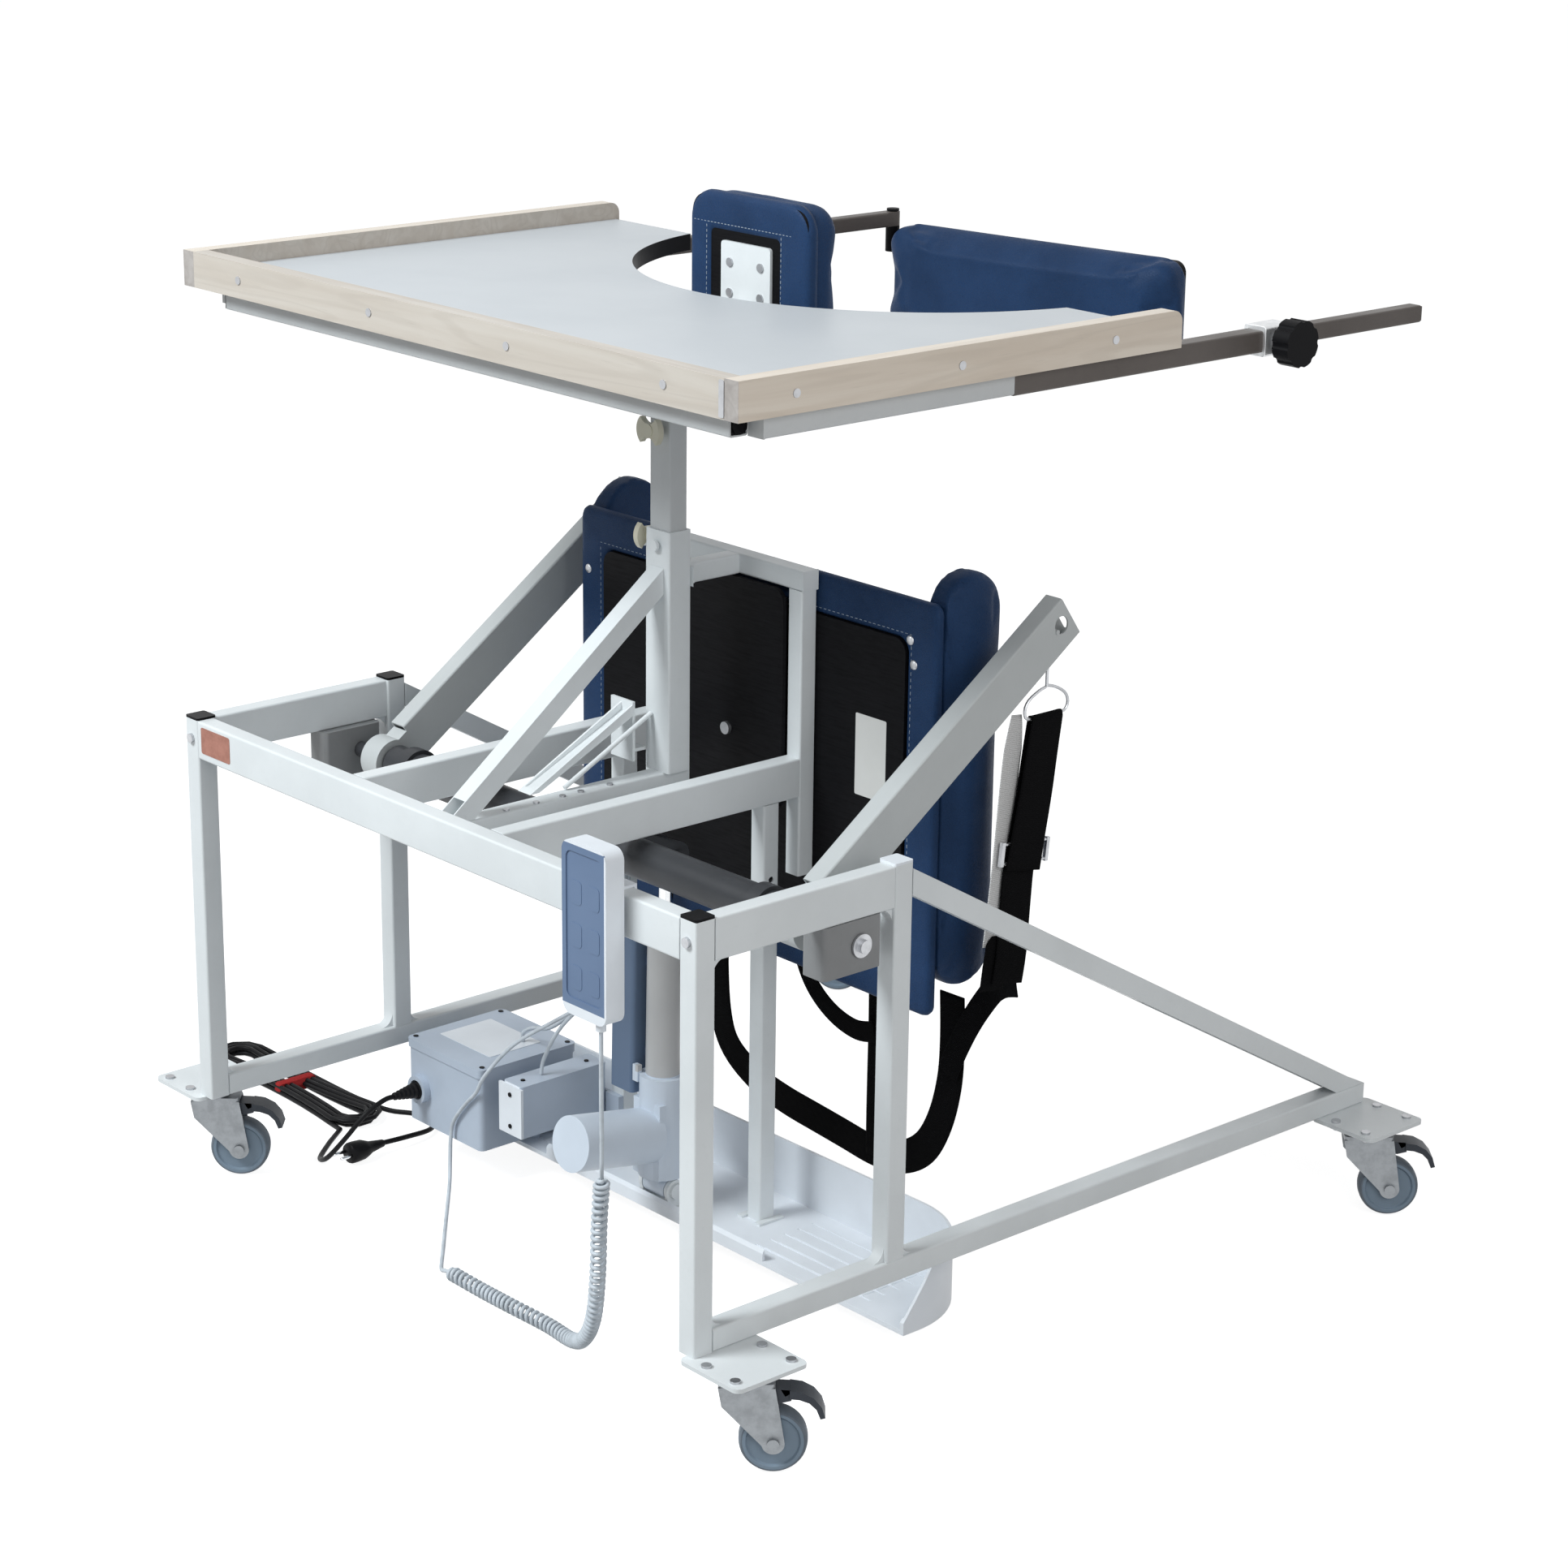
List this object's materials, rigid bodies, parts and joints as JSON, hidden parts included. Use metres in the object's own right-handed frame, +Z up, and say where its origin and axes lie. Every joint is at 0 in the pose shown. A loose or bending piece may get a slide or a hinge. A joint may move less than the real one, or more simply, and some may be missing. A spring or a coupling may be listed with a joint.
{
  "type": "standing frame",
  "caption": "White steel standing frame with powered lift arms, wooden-edged table, navy knee, chest and back pads, foot tray and braked casters",
  "frame": {"origin": "on the floor under the middle of the frame's bounding box, measured without the cords", "axes": "+X to the side that the handset hangs on, +Y to the side where the user stands, +Z up"},
  "size_m": [1.487, 1.3229, 1.319],
  "materials": {
    "white_steel": "satin white powder coat",
    "grey_steel": "satin light grey paint",
    "dark_steel": "satin dark bronze grey paint",
    "zinc_steel": "zinc plated",
    "white_plastic": "smooth moulded white",
    "blue_grey_plastic": "fine grained blue grey",
    "black_plastic": "satin black",
    "cream_plastic": "smooth cream",
    "black_board": "black painted plywood",
    "white_laminate": "white laminate sheet",
    "pale_beech": "lacquered pale beech",
    "navy_vinyl": "grained navy vinyl upholstery",
    "black_webbing": "woven webbing",
    "tinted_plate": "bare tinted plate without text",
    "grey_tyre": "grey rubber tread",
    "grey_cord": "smooth cord sheath",
    "black_cord": "smooth cord sheath"
  },
  "bodies": {
    "frame": {"top_rails": "white_steel", "centre_beam": "white_steel", "legs": "white_steel", "bottom_rails": "white_steel", "diagonal_braces": "white_steel", "caster_plates": "white_steel", "leg_caps": "black_plastic", "nameplate": "tinted_plate", "mast_outer": "white_steel", "cable_channel": "grey_steel", "knee_frame": "white_steel", "foot_posts": "white_steel", "foot_tray": "white_plastic", "pivot_blocks": "grey_steel", "frame_bolts": "zinc_steel", "knee_board": "black_board", "centre_board": "black_board", "knee_pad": "navy_vinyl", "control_box": "blue_grey_plastic", "side_box": "blue_grey_plastic", "handset": "blue_grey_plastic", "handset_cord": "grey_cord", "mains_cord": "black_cord", "cord_fittings": "black_cord"},
    "table": {"mast_inner": "grey_steel", "table_frame": "grey_steel", "table_top": "white_laminate", "table_edges": "pale_beech", "table_fittings": "black_plastic", "chest_board": "black_board", "chest_pad": "navy_vinyl", "arm_tubes": "dark_steel", "arm_clamp": "zinc_steel"},
    "near_arm": {"near_bar": "dark_steel"},
    "arm_knob": {"clamp_knob": "black_plastic"},
    "far_arm": {"far_bar": "dark_steel"},
    "back_gate": {"gate_board": "black_board", "back_pad": "navy_vinyl"},
    "lower_screw": {"lower_wing_screw": "cream_plastic"},
    "upper_screw": {"upper_wing_screw": "cream_plastic"},
    "lift": {"torque_tube": "dark_steel", "lift_arms": "white_steel"},
    "actuator": {"actuator_body": "blue_grey_plastic", "actuator_block": "blue_grey_plastic"},
    "piston": {"actuator_rod": "zinc_steel"},
    "sling": {"sling_hook": "zinc_steel", "sling_strap": "black_webbing"},
    "sling_lower": {"sling_loops": "black_webbing"},
    "front_near_swivel": {"front_near_fork": "zinc_steel"},
    "front_near_roller": {"front_near_wheel": "grey_tyre"},
    "front_near_brake": {"front_near_pedal": "black_plastic"},
    "front_far_swivel": {"front_far_fork": "zinc_steel"},
    "front_far_roller": {"front_far_wheel": "grey_tyre"},
    "front_far_brake": {"front_far_pedal": "black_plastic"},
    "rear_near_swivel": {"rear_near_fork": "zinc_steel"},
    "rear_near_roller": {"rear_near_wheel": "grey_tyre"},
    "rear_near_brake": {"rear_near_pedal": "black_plastic"},
    "rear_far_swivel": {"rear_far_fork": "zinc_steel"},
    "rear_far_roller": {"rear_far_wheel": "grey_tyre"},
    "rear_far_brake": {"rear_far_pedal": "black_plastic"}
  },
  "joints": [
    {"name": "table_height", "type": "slide", "parent": "frame", "child": "table", "axis": [0, 0, 1], "range_m": [-0.11, 0.09]},
    {"name": "near_arm_reach", "type": "slide", "parent": "table", "child": "near_arm", "axis": [0, 1, 0], "range_m": [-0.14, 0.09]},
    {"name": "far_arm_reach", "type": "slide", "parent": "table", "child": "far_arm", "axis": [0, 1, 0], "range_m": [-0.14, 0.06]},
    {"name": "arm_knob_turn", "type": "hinge", "parent": "table", "child": "arm_knob", "pos_m": [0.50094, 0.25475, 1.177], "axis": [1, 0, 0], "range_deg": [-180, 180]},
    {"name": "back_gate_swing", "type": "hinge", "parent": "far_arm", "child": "back_gate", "pos_m": [-0.50906, 0.57175, 1.15], "axis": [0, 0, 1], "range_deg": [-12, 95]},
    {"name": "lower_screw_turn", "type": "hinge", "parent": "frame", "child": "lower_screw", "pos_m": [-0.04706, -0.25375, 0.916], "axis": [1, 0, 0], "range_deg": [-180, 180]},
    {"name": "upper_screw_turn", "type": "hinge", "parent": "table", "child": "upper_screw", "pos_m": [-0.01906, -0.27525, 1.054], "axis": [0, 1, 0], "range_deg": [-180, 180]},
    {"name": "lift_swing", "type": "hinge", "parent": "frame", "child": "lift", "pos_m": [-0.01906, -0.39025, 0.567], "axis": [1, 0, 0], "range_deg": [-35, 10]},
    {"name": "actuator_tilt", "type": "hinge", "parent": "frame", "child": "actuator", "pos_m": [-0.01906, -0.26325, 0.07], "axis": [1, 0, 0], "range_deg": [-3, 9]},
    {"name": "piston_slide", "type": "slide", "parent": "actuator", "child": "piston", "axis": [0, 0.0182, 0.9998], "range_m": [-0.075, 0.03]},
    {"name": "sling_hang", "type": "hinge", "parent": "lift", "child": "sling", "pos_m": [0.38094, -0.00192, 0.844], "axis": [1, 0, 0], "range_deg": [-10, 35]},
    {"name": "sling_gather", "type": "slide", "parent": "sling", "child": "sling_lower", "axis": [0, 0, 1], "range_m": [-0.09, 0.3]},
    {"name": "front_near_turn", "type": "hinge", "parent": "frame", "child": "front_near_swivel", "pos_m": [0.51594, -0.59125, 0.118], "axis": [0, 0, 1], "continuous": true},
    {"name": "front_near_roll", "type": "hinge", "parent": "front_near_swivel", "child": "front_near_roller", "pos_m": [0.53995, -0.56443, 0.039], "axis": [-0.745, 0.6671, 0], "continuous": true},
    {"name": "front_near_press", "type": "hinge", "parent": "front_near_swivel", "child": "front_near_brake", "pos_m": [0.53395, -0.57113, 0.096], "axis": [-0.745, 0.6671, 0], "range_deg": [0, 12]},
    {"name": "front_far_turn", "type": "hinge", "parent": "frame", "child": "front_far_swivel", "pos_m": [-0.55406, -0.59125, 0.118], "axis": [0, 0, 1], "continuous": true},
    {"name": "front_far_roll", "type": "hinge", "parent": "front_far_swivel", "child": "front_far_roller", "pos_m": [-0.53005, -0.56443, 0.039], "axis": [-0.745, 0.6671, 0], "continuous": true},
    {"name": "front_far_press", "type": "hinge", "parent": "front_far_swivel", "child": "front_far_brake", "pos_m": [-0.53605, -0.57113, 0.096], "axis": [-0.745, 0.6671, 0], "range_deg": [0, 12]},
    {"name": "rear_near_turn", "type": "hinge", "parent": "frame", "child": "rear_near_swivel", "pos_m": [0.51394, 0.48175, 0.118], "axis": [0, 0, 1], "continuous": true},
    {"name": "rear_near_roll", "type": "hinge", "parent": "rear_near_swivel", "child": "rear_near_roller", "pos_m": [0.53795, 0.50857, 0.039], "axis": [-0.745, 0.6671, 0], "continuous": true},
    {"name": "rear_near_press", "type": "hinge", "parent": "rear_near_swivel", "child": "rear_near_brake", "pos_m": [0.53195, 0.50187, 0.096], "axis": [-0.745, 0.6671, 0], "range_deg": [0, 12]},
    {"name": "rear_far_turn", "type": "hinge", "parent": "frame", "child": "rear_far_swivel", "pos_m": [-0.55206, 0.48175, 0.118], "axis": [0, 0, 1], "continuous": true},
    {"name": "rear_far_roll", "type": "hinge", "parent": "rear_far_swivel", "child": "rear_far_roller", "pos_m": [-0.52805, 0.50857, 0.039], "axis": [-0.745, 0.6671, 0], "continuous": true},
    {"name": "rear_far_press", "type": "hinge", "parent": "rear_far_swivel", "child": "rear_far_brake", "pos_m": [-0.53405, 0.50187, 0.096], "axis": [-0.745, 0.6671, 0], "range_deg": [0, 12]}
  ],
  "couplings": [
    {"joint": "actuator_tilt", "follows": "lift_swing", "ratio": -0.2},
    {"joint": "piston_slide", "follows": "lift_swing", "m_per_rad": 0.112},
    {"joint": "sling_hang", "follows": "lift_swing", "ratio": -1},
    {"joint": "sling_gather", "follows": "lift_swing", "m_per_rad": -0.44}
  ]
}
